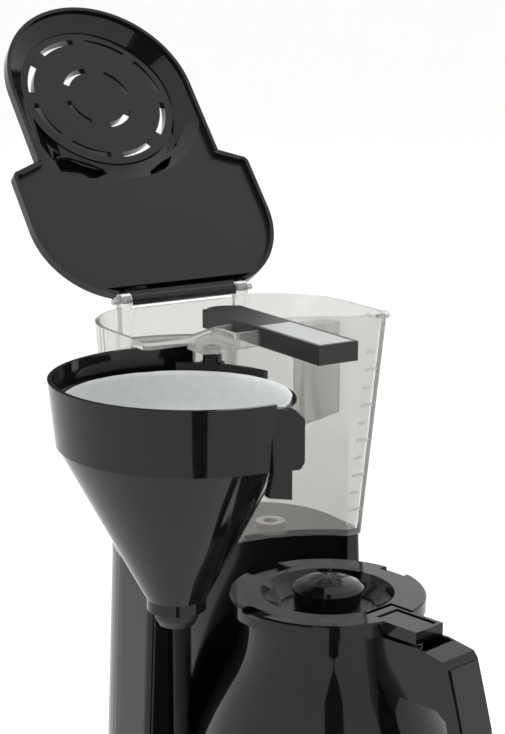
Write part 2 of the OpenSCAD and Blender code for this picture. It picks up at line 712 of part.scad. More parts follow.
module jug_liner() {
    r = belly_r - 7;
    color("#b7b9bb") jug_place() difference() {
        rotate_extrude() polygon([[0, jug_z + 13], [50, jug_z + 13], [r - 3, jug_z + 28], [r, jug_z + 55],
            [r - 3, jug_z + 84], [neck_r - 5, jug_z + 130], [neck_r - 5, jug_top - 12],
            [neck_r - jug_wall, jug_top - 12],
            [neck_r - jug_wall, jug_top - 11], [0, jug_top - 11]]);
        rotate_extrude() polygon([[0, jug_z + 14.4], [49.4, jug_z + 14.4], [r - 4.4, jug_z + 28.6],
            [r - 1.4, jug_z + 55],
            [r - 4.2, jug_z + 83.6], [neck_r - 6.4, jug_z + 129.4], [neck_r - 6.4, jug_top],
            [0, jug_top]]);
    }
}
module jug_base() {
    color("#141414") jug_place() difference() {
        rotate_extrude() polygon([[0, jug_z], [52, jug_z], [56, jug_z + 3], [56, jug_z + 8],
            [0, jug_z + 8]]);
        translate([0, 0, jug_z - 1]) cylinder(h = 3, r = 44);
    }
}
module jug_neck_seal() {
    color("#3c3c3c") jug_place() tube(0, 0, jug_top - 11, jug_top - 9, neck_r - 3.2, neck_r - 7);
}
module jug_lid() {
    color("#1a1a1b") jug_place() difference() {
        rotate_extrude() polygon([[0, jug_top - 9.4], [12, jug_top - 9.4], [24, jug_top - 8.2],
            [dish_r - 2, jug_top - 4],
            [dish_r, jug_top], [lid_ring_r - 0.8, jug_top], [lid_ring_r, jug_top - 0.8],
            [lid_ring_r, jug_top - ring_t + gap], [neck_r - jug_wall - 0.3, jug_top - ring_t + gap],
            [neck_r - jug_wall - 0.3, jug_top - 9], [neck_r - 7, jug_top - 9], [neck_r - 7, jug_top - 20],
            [neck_r - 9, jug_top - 20], [neck_r - 9, jug_top - 11.4], [0, jug_top - 11.4]]);
        for (a = [-4, 176]) rotate([0, 0, a]) translate([lid_ring_r - 6, -8, jug_top - 2.2])
            cube([9, 16, 5]);
        translate([-9.4 - gap, -90, jug_top - 12 + 4]) cube([18.8 + 2 * gap, 57, 20]);
        rotate([0, 0, 0]) translate([-11, 36, jug_top - 3.4]) cube([22, 30, 9]);
        translate([0, 0, jug_top - 20]) cylinder(h = 20, r = 6);
        cross_rod(-14, 14, -lever_pin_d, lever_pin_z, lever_pin_r);
    }
}
module jug_knob() {
    color("#161616") jug_place() difference() {
        rotate_extrude() polygon([[0, jug_top - 14], [5.9, jug_top - 14], [5.9, jug_top - 9.4],
            [16.4, jug_top - 8.6],
            [16.6, jug_top + 1], [knob_r, jug_top + 1.2], [knob_r, jug_top + 2.2], [16, jug_top + 3.9],
            [12, jug_top + 5.7], [7, jug_top + 6.8], [0, knob_top]]);
        for (a = [0:45:315]) rotate([0, 0, a + 10]) translate([2.4, -0.55, jug_top + 5.2])
            cube([6, 1.1, 5]);
        translate([0, 0, jug_top - 15]) cylinder(h = 18, r = 3);
    }
}
module thumb_lever() {
    w = 9.4;
    color("#1d1d1e") jug_place() difference() {
        translate([-w, -66, lever_top - lever_t]) cube([2 * w, 31.5, lever_t]);
        translate([-w + 2, -64, lever_top - 0.7]) cube([2 * w - 4, 25, 3]);
        cross_rod(-20, 20, -lever_pin_d, lever_pin_z, lever_pin_r + pin_gap);
    }
}
module lever_pin() {
    color("#a9abad") jug_place() cross_rod(-14, 14, -lever_pin_d, lever_pin_z, lever_pin_r);
}
module lever_spring() {
    color("#b9bbbd") jug_place() translate([0, -58, lever_top - lever_t - 8.2]) difference() {
        cylinder(h = 8.2, r = 3.2);
        translate([0, 0, -1]) cylinder(h = 12, r = 2.3);
    }
}
module handle_side() {
    polygon([[40, jug_top - 8], [52, jug_top - 8], [68, jug_top - 7.2], [83.5, jug_top - 9.5],
        [86, jug_top - 12.5],
        [90, jug_top - 26], [95.4, jug_top - 45], [98.5, jug_top - 68], [98, jug_top - 92],
        [93, jug_top - 116],
        [86, jug_top - 128], [76, jug_top - 132], [62, jug_top - 129], [64, jug_top - 112],
        [74, jug_top - 115],
        [81, jug_top - 110], [87.4, jug_top - 90], [89.4, jug_top - 68], [88.4, jug_top - 47],
        [86, jug_top - 38], [80, jug_top - 34], [48, jug_top - 34.5], [40, jug_top - 26]]);
}
module jug_handle() {
    color("#1b1b1c") jug_place() difference() {
        rotate([90, 0, -90]) translate([0, 0, -handle_half_w]) linear_extrude(2 * handle_half_w)
            handle_side();
        rotate_extrude() polygon(concat([[0, 0], [jug_outline(0)[0][0] + gap, 0]],
            [for (p = jug_outline(0)) [p[0] + 0.05, p[1]]], [[neck_r + 0.05, jug_top + 5],
            [0, jug_top + 5]]));
        translate([0, 0, jug_top - ring_t - 0.2]) cylinder(h = 20, r = lid_ring_r + gap + 0.2);
        translate([-9.4 - gap, -72, lever_top - lever_t - 8.2]) cube([18.8 + 2 * gap, 40, 20]);
    }
}
module handle_panel() {
    color("#232324") jug_place() rotate([90, 0, -90]) translate([0, 0, -handle_half_w + 1.6])
        linear_extrude(2 * handle_half_w - 3.2) polygon([[86.6, jug_top - 13], [90.05, jug_top - 26],
            [95.45, jug_top - 45], [98.55, jug_top - 68], [98.05, jug_top - 92], [98.9, jug_top - 92],
            [99.4, jug_top - 68], [96.3, jug_top - 45], [90.9, jug_top - 26], [87.3, jug_top - 13]]);
}

base_housing();
bottom_cover();
rubber_feet();
housing_screws();
jug_rest();
column_housing();
column_front();
heater_block();
thermostat();
thermal_fuse();
inlet_hose();
outlet_hose();
check_valve();
power_switch();
switch_bezel();
switch_lamp();
cord_gland();
tank();
tank_grommets();
level_scale();
riser_tube();
spout_arm();
spout_cover();
spout_bracket();
lower_bracket();
swing_pin();
hinge_pins();
lid_shell();
lid_liner();
vent_plate();
filter_holder();
drip_plunger();
drip_spring();
drip_seal();
paper_filter();
jug_shell();
jug_liner();
jug_base();
jug_neck_seal();
jug_lid();
jug_knob();
thumb_lever();
lever_pin();
lever_spring();
jug_handle();
handle_panel();
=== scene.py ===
import json
import math

import bmesh
import bpy
from mathutils import Matrix, Vector


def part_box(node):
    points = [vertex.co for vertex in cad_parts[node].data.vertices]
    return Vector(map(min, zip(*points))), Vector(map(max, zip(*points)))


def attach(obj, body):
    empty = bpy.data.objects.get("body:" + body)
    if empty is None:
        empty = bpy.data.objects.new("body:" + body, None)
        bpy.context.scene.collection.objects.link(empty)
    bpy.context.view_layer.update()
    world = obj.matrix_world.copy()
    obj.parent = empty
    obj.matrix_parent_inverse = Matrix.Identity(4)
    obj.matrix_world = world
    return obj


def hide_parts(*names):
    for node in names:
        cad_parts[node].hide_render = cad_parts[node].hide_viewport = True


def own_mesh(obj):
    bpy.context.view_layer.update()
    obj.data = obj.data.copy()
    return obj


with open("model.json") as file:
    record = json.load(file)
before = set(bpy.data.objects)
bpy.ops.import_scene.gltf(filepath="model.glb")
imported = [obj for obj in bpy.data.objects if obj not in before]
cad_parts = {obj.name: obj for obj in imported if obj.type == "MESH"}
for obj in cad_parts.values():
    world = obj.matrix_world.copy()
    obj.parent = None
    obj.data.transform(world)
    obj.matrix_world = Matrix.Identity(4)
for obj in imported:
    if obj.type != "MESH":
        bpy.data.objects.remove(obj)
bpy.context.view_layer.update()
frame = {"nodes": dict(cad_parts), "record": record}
nodes = frame["nodes"]
slotOf = {part["node"]: part["material_slot"] for part in frame["record"]["subparts"]}

# pieces and patterns are sized in millimetres, the studio and its lights in metres
mm = 0.001
jugLow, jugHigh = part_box("jug_base")
jugAxis = Vector(((jugLow.x + jugHigh.x) / 2, (jugLow.y + jugHigh.y) / 2, 0))  # the jug's upright axis


# an sRGB hex colour as the linear one that a shader takes
def linear(hexColour):
    channels = [int(hexColour[i:i + 2], 16) / 255 for i in (1, 3, 5)]
    return tuple(c / 12.92 if c <= 0.04045 else ((c + 0.055) / 1.055) ** 2.4 for c in channels) + (1.0,)


# settings are socket values or properties of the node, links are what feeds its sockets
def addNode(tree, kind, settings=None, links=None):
    node = tree.nodes.new(kind)
    for name, value in (settings or {}).items():
        if isinstance(name, int) or name in node.inputs:
            node.inputs[name].default_value = value
        else:
            setattr(node, name, value)
    for name, source in (links or {}).items():
        tree.links.new(source, node.inputs[name])
    return node


def startMaterial(name):
    material = bpy.data.materials.new(name)
    material.use_nodes = True
    tree = material.node_tree
    tree.nodes.clear()
    output = addNode(tree, "ShaderNodeOutputMaterial")
    shader = addNode(tree, "ShaderNodeBsdfPrincipled")
    tree.links.new(shader.outputs["BSDF"], output.inputs["Surface"])
    place = addNode(tree, "ShaderNodeTexCoord").outputs["Object"]
    return material, tree, shader, place


print("materials")


# the place on a piece is in metres, so a pattern's scale is 1000 over its size in millimetres
# polished ABS straight from a mirror-finished mould: deep black, sharp reflections, faint flow waves
def makePolishedAbs(name, settings):
    material, tree, shader, place = startMaterial(name)
    waves = addNode(tree, "ShaderNodeTexNoise", {"Scale": 1000 / settings["waveSize"], "Detail": 2.0},
                    {"Vector": place})
    dust = addNode(tree, "ShaderNodeTexNoise", {"Scale": 1000 / settings["dustSize"], "Detail": 4.0},
                   {"Vector": place})
    tint = addNode(tree, "ShaderNodeMix",
                   {"data_type": "RGBA", 6: linear(settings["colour"]), 7: linear(settings["paler"])},
                   {"Factor": dust.outputs["Fac"]})
    rough = addNode(tree, "ShaderNodeMapRange",
                    {"From Min": 0.3, "From Max": 0.75, "To Min": settings["roughness"],
                     "To Max": settings["roughness"] + settings["roughSpread"]},
                    {"Value": dust.outputs["Fac"]})
    bump = addNode(tree, "ShaderNodeBump",
                   {"Strength": settings["waveStrength"], "Distance": settings["waveHeight"] * mm},
                   {"Height": waves.outputs["Fac"]})
    tree.links.new(tint.outputs[2], shader.inputs["Base Color"])
    tree.links.new(rough.outputs["Result"], shader.inputs["Roughness"])
    tree.links.new(bump.outputs["Normal"], shader.inputs["Normal"])
    shader.inputs["IOR"].default_value = settings["ior"]
    return material


# the IOR is below ABS's usual 1.54, for the calm reflections of this finish
polishedAbs = {"colour": "#0b0b0c", "paler": "#121213", "roughness": 0.045, "roughSpread": 0.05,
               "waveSize": 30, "waveStrength": 0.03, "waveHeight": 0.4, "dustSize": 6, "ior": 1.4}
jugAbs = {"colour": "#0a0a0b", "paler": "#101011", "roughness": 0.05, "roughSpread": 0.04,
          "waveSize": 40, "waveStrength": 0.02, "waveHeight": 0.4, "dustSize": 6, "ior": 1.4}
gloss = makePolishedAbs("polished black ABS", polishedAbs)
jugGloss = makePolishedAbs("polished black ABS of the jug", jugAbs)


# matt mouldings, castings and prints: the surface is finely pitted, so highlights spread and dim
# real grain is about a tenth of a millimetre, drawn several times coarser so that it shows
def makePittedMatt(name, settings):
    material, tree, shader, place = startMaterial(name)
    grain = addNode(tree, "ShaderNodeTexVoronoi", {"Scale": 1000 / settings["grain"]}, {"Vector": place})
    cloud = addNode(tree, "ShaderNodeTexNoise", {"Scale": 1000 / pittedMatt["cloudSize"], "Detail": 3.0},
                    {"Vector": place})
    tint = addNode(tree, "ShaderNodeMix",
                   {"data_type": "RGBA", 6: linear(settings["colour"]), 7: linear(settings["paler"])},
                   {"Factor": cloud.outputs["Fac"]})
    bump = addNode(tree, "ShaderNodeBump",
                   {"Strength": settings["depth"], "Distance": pittedMatt["pitHeight"] * mm},
                   {"Height": grain.outputs["Distance"]})
    tree.links.new(tint.outputs[2], shader.inputs["Base Color"])
    tree.links.new(bump.outputs["Normal"], shader.inputs["Normal"])
    shader.inputs["Roughness"].default_value = settings["roughness"]
    shader.inputs["IOR"].default_value = settings.get("ior", pittedMatt["ior"])
    return material


pittedMatt = {"cloudSize": 14, "pitHeight": 0.1, "ior": 1.49}  # 1.49 is polypropylene's usual IOR

# spark-eroded mould: matt black, no clear reflections
grainedBlack = makePittedMatt("grained black polypropylene", {
    "colour": "#0d0d0d", "paler": "#141414", "roughness": 0.42, "grain": 0.6, "depth": 0.25})
# finely textured mould: charcoal with wide soft highlights
liningGrey = makePittedMatt("satin charcoal polypropylene", {
    "colour": "#121213", "paler": "#171718", "roughness": 0.28, "grain": 0.5, "depth": 0.05, "ior": 1.4})
# pressed rubber: dull, with hardly a highlight
blackRubber = makePittedMatt("black rubber", {
    "colour": "#101010", "paler": "#1a1a1a", "roughness": 0.7, "grain": 0.8, "depth": 0.4})
# moulded silicone: waxy and off-white
siliconeRubber = makePittedMatt("natural silicone rubber", {
    "colour": "#d9d5cc", "paler": "#c9c4b8", "roughness": 0.45, "grain": 1.5, "depth": 0.1})
# moulded acetal: even blue with a waxy shine
blueAcetal = makePittedMatt("blue acetal", {
    "colour": "#3c6ea0", "paler": "#34628f", "roughness": 0.4, "grain": 1.0, "depth": 0.1})
# pad-printed ink: flat pale grey
printedInk = makePittedMatt("grey printed ink", {
    "colour": "#c4c6c3", "paler": "#b6b8b5", "roughness": 0.55, "grain": 0.4, "depth": 0.1})
# fired without a glaze: chalky and sandy
ceramicBody = makePittedMatt("unglazed ceramic", {
    "colour": "#d8d4c8", "paler": "#c8c3b5", "roughness": 0.75, "grain": 0.7, "depth": 0.3})
# moulded nylon: off-white with a soft shine
naturalNylon = makePittedMatt("natural nylon", {
    "colour": "#e4e4e0", "paler": "#d8d8d3", "roughness": 0.4, "grain": 1.2, "depth": 0.1})


# injection-moulded clear plastic: a cool grey cast, a slight haze and soft sink marks
def makeClearMoulding(name, settings):
    material, tree, shader, place = startMaterial(name)
    ripples = addNode(tree, "ShaderNodeTexNoise", {"Scale": 1000 / settings["rippleSize"], "Detail": 1.0},
                      {"Vector": place})
    haze = addNode(tree, "ShaderNodeTexNoise", {"Scale": 1000 / clearMoulding["hazeSize"], "Detail": 5.0},
                   {"Vector": place})
    rough = addNode(tree, "ShaderNodeMapRange",
                    {"From Min": 0.35, "From Max": 0.7, "To Min": settings["roughness"],
                     "To Max": settings["roughness"] + clearMoulding["roughSpread"]},
                    {"Value": haze.outputs["Fac"]})
    bump = addNode(tree, "ShaderNodeBump",
                   {"Strength": clearMoulding["sinkStrength"], "Distance": clearMoulding["sinkHeight"] * mm},
                   {"Height": ripples.outputs["Fac"]})
    tree.links.new(rough.outputs["Result"], shader.inputs["Roughness"])
    tree.links.new(bump.outputs["Normal"], shader.inputs["Normal"])
    shader.inputs["Base Color"].default_value = linear(settings["colour"])
    shader.inputs["IOR"].default_value = settings["ior"]
    shader.inputs["Transmission Weight"].default_value = settings["clear"]
    return material


clearMoulding = {"hazeSize": 9, "roughSpread": 0.05, "sinkStrength": 0.12, "sinkHeight": 0.3}
# the IOR is below SAN's usual 1.57, so that the thin walls bend the view less
tankClear = makeClearMoulding("clear SAN", {
    "colour": "#e9e9e6", "roughness": 0.05, "rippleSize": 26, "ior": 1.34, "clear": 0.83})


# milky polypropylene: pale and soft, with light scattered just under its skin
def makeMilkyPolypropylene(name, settings):
    material, tree, shader, place = startMaterial(name)
    cloud = addNode(tree, "ShaderNodeTexNoise", {"Scale": 1000 / milkyCloudSize, "Detail": 3.0},
                    {"Vector": place})
    tint = addNode(tree, "ShaderNodeMix",
                   {"data_type": "RGBA", 6: linear(settings["colour"]), 7: linear(settings["paler"])},
                   {"Factor": cloud.outputs["Fac"]})
    tree.links.new(tint.outputs[2], shader.inputs["Base Color"])
    shader.inputs["Roughness"].default_value = settings["roughness"]
    shader.inputs["Subsurface Weight"].default_value = 0.2
    shader.inputs["Subsurface Scale"].default_value = 0.002
    return material


milkyCloudSize = 8
milky = makeMilkyPolypropylene("milky polypropylene", {
    "colour": "#9b9d9d", "paler": "#a4a6a6", "roughness": 0.3})
lampRed = makeMilkyPolypropylene("red lamp lens", {
    "colour": "#a81c14", "paler": "#b8281e", "roughness": 0.2})


# drawn, spun or cast metal: fine lines run round or along the piece and stretch its highlights
# real lines are about a tenth of a millimetre, drawn as millimetres so that they show
def makeBrushedMetal(name, settings):
    material, tree, shader, place = startMaterial(name)
    stretch = addNode(tree, "ShaderNodeMapping", {"Scale": settings["stretch"]}, {"Vector": place})
    lines = addNode(tree, "ShaderNodeTexNoise", {"Scale": 1000 / settings["lineSize"], "Detail": 3.0},
                    {"Vector": stretch.outputs["Vector"]})
    rough = addNode(tree, "ShaderNodeMapRange",
                    {"To Min": settings["roughness"] - brushedMetal["smoother"],
                     "To Max": settings["roughness"] + brushedMetal["rougher"]},
                    {"Value": lines.outputs["Fac"]})
    bump = addNode(tree, "ShaderNodeBump",
                   {"Strength": brushedMetal["lineStrength"], "Distance": brushedMetal["lineHeight"] * mm},
                   {"Height": lines.outputs["Fac"]})
    tree.links.new(rough.outputs["Result"], shader.inputs["Roughness"])
    tree.links.new(bump.outputs["Normal"], shader.inputs["Normal"])
    shader.inputs["Base Color"].default_value = linear(settings["colour"])
    shader.inputs["Metallic"].default_value = 1.0
    return material


brushedMetal = {"smoother": 0.06, "rougher": 0.1, "lineStrength": 0.15, "lineHeight": 0.05}
steelPin = makeBrushedMetal("drawn stainless steel", {
    "colour": "#b5b7b9", "roughness": 0.28, "lineSize": 2, "stretch": (1, 1, 0.1)})
brushedLiner = makeBrushedMetal("spun stainless steel", {
    "colour": "#b9bbbd", "roughness": 0.3, "lineSize": 1.5, "stretch": (0.1, 0.1, 1)})
castAluminium = makeBrushedMetal("cast aluminium", {
    "colour": "#b4b6b8", "roughness": 0.5, "lineSize": 3, "stretch": (1, 1, 1)})
plainBrass = makeBrushedMetal("plain brass", {
    "colour": "#c9a95a", "roughness": 0.35, "lineSize": 2, "stretch": (0.2, 1, 1)})


# creped filter paper: bleached fibres, fine mottling, a soft dull surface
# real crepe is under a millimetre, drawn a little coarser so that it shows
def makeCrepedPaper(name, settings):
    material, tree, shader, place = startMaterial(name)
    fibres = addNode(tree, "ShaderNodeTexNoise",
                     {"Scale": 1000 / settings["mottle"], "Detail": 6.0, "Roughness": 0.7}, {"Vector": place})
    crepe = addNode(tree, "ShaderNodeTexVoronoi", {"Scale": 1000 / settings["crepe"]}, {"Vector": place})
    tint = addNode(tree, "ShaderNodeMix",
                   {"data_type": "RGBA", 6: linear(settings["shade"]), 7: linear(settings["colour"])},
                   {"Factor": fibres.outputs["Fac"]})
    fibreBump = addNode(tree, "ShaderNodeBump",
                        {"Strength": settings["fibreStrength"], "Distance": settings["fibreHeight"] * mm},
                        {"Height": fibres.outputs["Fac"]})
    crepeBump = addNode(tree, "ShaderNodeBump",
                        {"Strength": settings["crepeStrength"], "Distance": settings["crepeHeight"] * mm},
                        {"Height": crepe.outputs["Distance"], "Normal": fibreBump.outputs["Normal"]})
    tree.links.new(tint.outputs[2], shader.inputs["Base Color"])
    tree.links.new(crepeBump.outputs["Normal"], shader.inputs["Normal"])
    shader.inputs["Roughness"].default_value = 0.9
    shader.inputs["Specular IOR Level"].default_value = 0.15
    return material


paper = makeCrepedPaper("creped filter paper", {
    "colour": "#dcdedd", "shade": "#c2c5c5", "mottle": 4.5, "fibreStrength": 0.35, "fibreHeight": 0.2,
    "crepe": 1.4, "crepeStrength": 0.3, "crepeHeight": 0.15})

finishes = {"black_plastic": gloss, "holder_plastic": gloss, "dark_plastic": grainedBlack,
            "lid_grey": liningGrey, "clear_plastic": tankClear, "pale_plastic": milky,
            "riser_plastic": naturalNylon, "valve_plastic": blueAcetal, "switch_plastic": gloss,
            "lamp_red": lampRed, "mark_grey": printedInk, "silicone": siliconeRubber,
            "rubber": blackRubber, "steel": steelPin, "brushed_steel": brushedLiner,
            "aluminium": castAluminium, "brass": plainBrass, "ceramic_body": ceramicBody, "paper": paper}


# smooth shading, except over edges that turn more than the angle
def shadeByAngle(mesh, degrees):
    if "custom_normal" in mesh.attributes:
        mesh.attributes.remove(mesh.attributes["custom_normal"])
    for face in mesh.polygons:
        face.use_smooth = True
    mesh.set_sharp_from_angle(angle=math.radians(degrees))


# a small round on every sharp edge, as a mould leaves, so that edges catch the light
def softenEdges(piece, width, segments=2):
    bevel = piece.modifiers.new("softened edges", "BEVEL")
    bevel.width = width
    bevel.segments = segments
    bevel.limit_method = "ANGLE"
    bevel.angle_limit = math.radians(edgeAngle)
    bevel.harden_normals = False
    return bevel


# width of the round on each node's edges, in millimetres
edgeAngle = 32
edgeWidths = {"lid_shell": 0.6, "tank": 0.6, "filter_holder": 0.5, "spout_arm": 0.5, "spout_cover": 0.4,
              "jug_lid": 0.6, "jug_handle": 1.2, "thumb_lever": 0.8, "column_housing": 0.8,
              "base_housing": 1.2, "vent_plate": 0.4, "lid_liner": 0.4, "spout_bracket": 0.4}
for name, node in nodes.items():
    node.data.materials.clear()
    node.data.materials.append(finishes[slotOf[name]])
    for face in node.data.polygons:
        face.material_index = 0
    shadeByAngle(node.data, edgeAngle)
    if name in edgeWidths:
        softenEdges(node, edgeWidths[name] * mm)
print("frame dressed")


def addPiece(name, bm, material, body, degrees=40):
    bmesh.ops.recalc_face_normals(bm, faces=bm.faces)
    mesh = bpy.data.meshes.new(name)
    bm.to_mesh(mesh)
    bm.free()
    shadeByAngle(mesh, degrees)
    mesh.materials.append(material)
    piece = bpy.data.objects.new(name, mesh)
    bpy.context.scene.collection.objects.link(piece)
    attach(piece, body)
    return piece


# joins rows of points into a skin, each row closed on itself
def skinRows(bm, rows, wrap=False):
    for a, b in zip(rows, rows[1:] + rows[:1] if wrap else rows[1:]):
        for i in range(len(a)):
            bm.faces.new((a[i - 1], a[i], b[i], b[i - 1]))


# a smooth curve through the points, with extra points between them
def smoothLine(points, steps):
    line = []
    for i in range(len(points) - 1):
        a, b, c, d = (Vector(points[max(0, min(len(points) - 1, i + k))]) for k in (-1, 0, 1, 2))
        for step in range(steps):
            t = step / steps
            line.append(0.5 * (2 * b + (c - a) * t + (2 * a - 5 * b + 4 * c - d) * t * t
                               + (3 * b - a - 3 * c + d) * t ** 3))
    return line + [Vector(points[-1])]


# turns a closed outline of (radius, height) about an upright axis
def lathe(bm, outline, axis, steps=128):
    rows = []
    for radius, height in outline:
        rows.append([bm.verts.new((axis.x + radius * mm * math.cos(math.tau * i / steps),
                                   axis.y + radius * mm * math.sin(math.tau * i / steps),
                                   height * mm)) for i in range(steps)])
    skinRows(bm, rows, wrap=True)


# moulded jug body: foot, round belly, and a shoulder that sweeps into the neck in one curve
# the outline is (radius, height above the foot) from foot to neck
jug = {"wall": 2.4, "steps": 6, "neckDrop": 7.6, "neckRadius": 43, "footHeight": 14,
       "outline": [(56, 8.05), (62, 13), (66.5, 26), (69.2, 42), (69.95, 58), (68.8, 74), (66.6, 86),
                   (62.9, 97), (57.2, 111), (51, 123.5), (46.6, 132), (44.1, 140), (43.1, 148), (43, 156)]}


def makeJugBody():
    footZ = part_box("jug_base")[0].z / mm
    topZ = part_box("jug_lid")[1].z / mm - jug["neckDrop"]
    wall = jug["wall"]
    outer = [(r, footZ + z) for r, z in smoothLine(jug["outline"], jug["steps"])]
    outer.append((jug["neckRadius"], topZ))
    inner = [(r - wall, z + (wall if z < footZ + jug["footHeight"] else 0)) for r, z in reversed(outer)]
    bm = bmesh.new()
    lathe(bm, outer + inner, jugAxis)
    body = addPiece("jug_body", bm, jugGloss, "jug")
    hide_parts("jug_shell")


makeJugBody()
print("jug made")

# paper cone pushed towards the latch, with its folded seam at the back
# above bandFrom the wall stands upright, and above looseFrom the rim leans on its own
# each ripple is (height, waves round the rim, turns as it climbs)
filterPaper = {"footGap": 0.4, "slack": 0.6, "slope": 0.545, "bandFrom": 292.0, "inset": 0.2,
               "rimLow": 309.4, "rimRise": 0.8, "looseFrom": 306.0, "looseHeight": 5,
               "lean": 1.6, "leanTo": (0.844, -0.537), "drawIn": 1.1,
               "seamAt": 76.0, "seamWidth": 8.0, "seamDepth": 0.7,
               "ripples": [(0.12, 9, 3), (0.08, 23, -5)], "thickness": 0.3,
               "steps": 144, "levels": 24, "shadeAngle": 60, "flatLength": 0.33}  # flatLength in metres


def makePaper():
    low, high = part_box("paper_filter")
    axis = Vector(((low.x + high.x) / 2, (low.y + high.y) / 2, 0))
    topRadius = (high.x - low.x) / 2 / mm - filterPaper["slack"]
    footZ, bandZ = low.z / mm + filterPaper["footGap"], filterPaper["bandFrom"]
    steps, levels, slope = filterPaper["steps"], filterPaper["levels"], filterPaper["slope"]
    footRadius = topRadius - (bandZ - footZ) * slope
    towards = math.atan2(filterPaper["leanTo"][1], filterPaper["leanTo"][0])
    bm = bmesh.new()
    rows = []
    for level in range(levels + 1):
        t = level / levels
        row = []
        for i in range(steps):
            turn = math.tau * i / steps
            side = (1 + math.cos(turn - towards)) / 2  # 1 on the side it leans to, 0 opposite
            rimZ = filterPaper["rimLow"] + filterPaper["rimRise"] * side ** 2
            height = footZ + (rimZ - footZ) * t
            radius = footRadius + (min(height, bandZ) - footZ) * slope
            over = max(0.0, (height - filterPaper["looseFrom"]) / filterPaper["looseHeight"])
            radius += filterPaper["lean"] * over * side ** 3 - filterPaper["drawIn"] * over * (1 - side)
            fromSeam = abs((math.degrees(turn) - filterPaper["seamAt"] + 180) % 360 - 180)
            radius -= filterPaper["seamDepth"] if fromSeam < filterPaper["seamWidth"] / 2 else 0.0
            ripple = sum(rise * math.sin(waves * turn + climb * t)
                         for rise, waves, climb in filterPaper["ripples"])
            radius += ripple - filterPaper["inset"]
            row.append(bm.verts.new((axis.x + radius * mm * math.cos(turn),
                                     axis.y + radius * mm * math.sin(turn), height * mm)))
        rows.append(row)
    skinRows(bm, rows)
    bm.faces.new(rows[0])
    area = sum(face.calc_area() for face in bm.faces)
    cup = addPiece("paper_cone", bm, paper, "filter", filterPaper["shadeAngle"])
    skin = cup.modifiers.new("paper thickness", "SOLIDIFY")
    skin.thickness = filterPaper["thickness"] * mm
    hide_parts("paper_filter")


makePaper()
print("paper made")

# thin clear pocket inside the tank's front, open at the top, its floor slanting down to the middle
tankPocket = {"x": (29.0, 51.5), "y": (36.0, 47.0), "floor": (265.5, 269.5), "top": 318.0,
              "wall": 1.1, "round": 1.2, "roundSteps": 3}


def makeTankPocket():
    x, y, floor, top = tankPocket["x"], tankPocket["y"], tankPocket["floor"], tankPocket["top"]
    corners = [(x[0], y[0], floor[0]), (x[1], y[0], floor[1]), (x[1], y[1], floor[1]), (x[0], y[1], floor[0])]
    bm = bmesh.new()
    lower = [bm.verts.new((a * mm, b * mm, c * mm)) for a, b, c in corners]
    upper = [bm.verts.new((v.co.x, v.co.y, top * mm)) for v in lower]
    bm.faces.new(lower)
    skinRows(bm, [lower, upper])
    pocket = addPiece("tank_pocket", bm, tankClear, "machine")
    skin = pocket.modifiers.new("wall", "SOLIDIFY")
    skin.thickness = tankPocket["wall"] * mm
    softenEdges(pocket, tankPocket["round"] * mm, tankPocket["roundSteps"])


makeTankPocket()
print("tank pocket made")

# round wire wound into coils with flat ends
# keep is the share of its length that is left at the joint's limit
springs = {"drip_spring": {"body": "filter", "joint": "drip_rise", "turns": 7, "wire": 1.0,
                           "keep": 0.38, "fixedTop": True},
           "lever_spring": {"body": "jug", "joint": "lever_press", "turns": 5, "wire": 0.8,
                            "keep": 0.66, "fixedTop": False}}
coilMesh = {"perTurn": 20, "around": 8, "flatTurns": 0.75, "gap": 0.05, "shadeAngle": 60}


def makeSpring(name, settings):
    low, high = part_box(name)
    middle = (low + high) / 2
    wire = settings["wire"] * mm / 2
    radius = (high.x - low.x) / 2 - wire - coilMesh["gap"] * mm
    perTurn, around, flat = coilMesh["perTurn"], coilMesh["around"], coilMesh["flatTurns"]
    bm = bmesh.new()
    rows = []
    for i in range(settings["turns"] * perTurn + 1):
        turn = math.tau * i / perTurn
        climb = min(max((i / perTurn - flat) / (settings["turns"] - 2 * flat), 0), 1)
        height = low.z + wire + (high.z - low.z - 2 * wire) * climb
        out = Vector((math.cos(turn), math.sin(turn), 0))
        centre = Vector((middle.x, middle.y, height)) + out * radius
        rows.append([bm.verts.new(centre + out * wire * math.cos(math.tau * k / around)
                                  + Vector((0, 0, wire * math.sin(math.tau * k / around))))
                     for k in range(around)])
    skinRows(bm, rows)
    bm.faces.new(rows[0])
    bm.faces.new(rows[-1])
    coil = addPiece(name + "_coil", bm, steelPin, settings["body"], coilMesh["shadeAngle"])
    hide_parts(name)
    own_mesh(coil)


for name, settings in springs.items():
    makeSpring(name, settings)
print("springs made")

# a white studio with one dark strip, which gives the black stripes in the polished plastic
# darkHalf is (height from straight down 0 to straight up 1, half the strip's angle in radians)
studio = {"floorColour": "#ffffff", "reach": 6.0, "rise": 4.0, "bend": 1.2, "bendSteps": 12,
          "halfWidth": 9, "toCamera": (-0.5366, -0.8438, 0.0), "worldStrength": 1.1,
          "darkTurn": 6.0, "darkLevel": 0.02, "darkEdge": 0.02,
          "darkHalf": [(0.22, 0.0), (0.27, 0.12), (0.335, 0.12), (0.36, 0.025), (0.43, 0.025),
                       (0.6, 0.12), (0.92, 0.27)]}


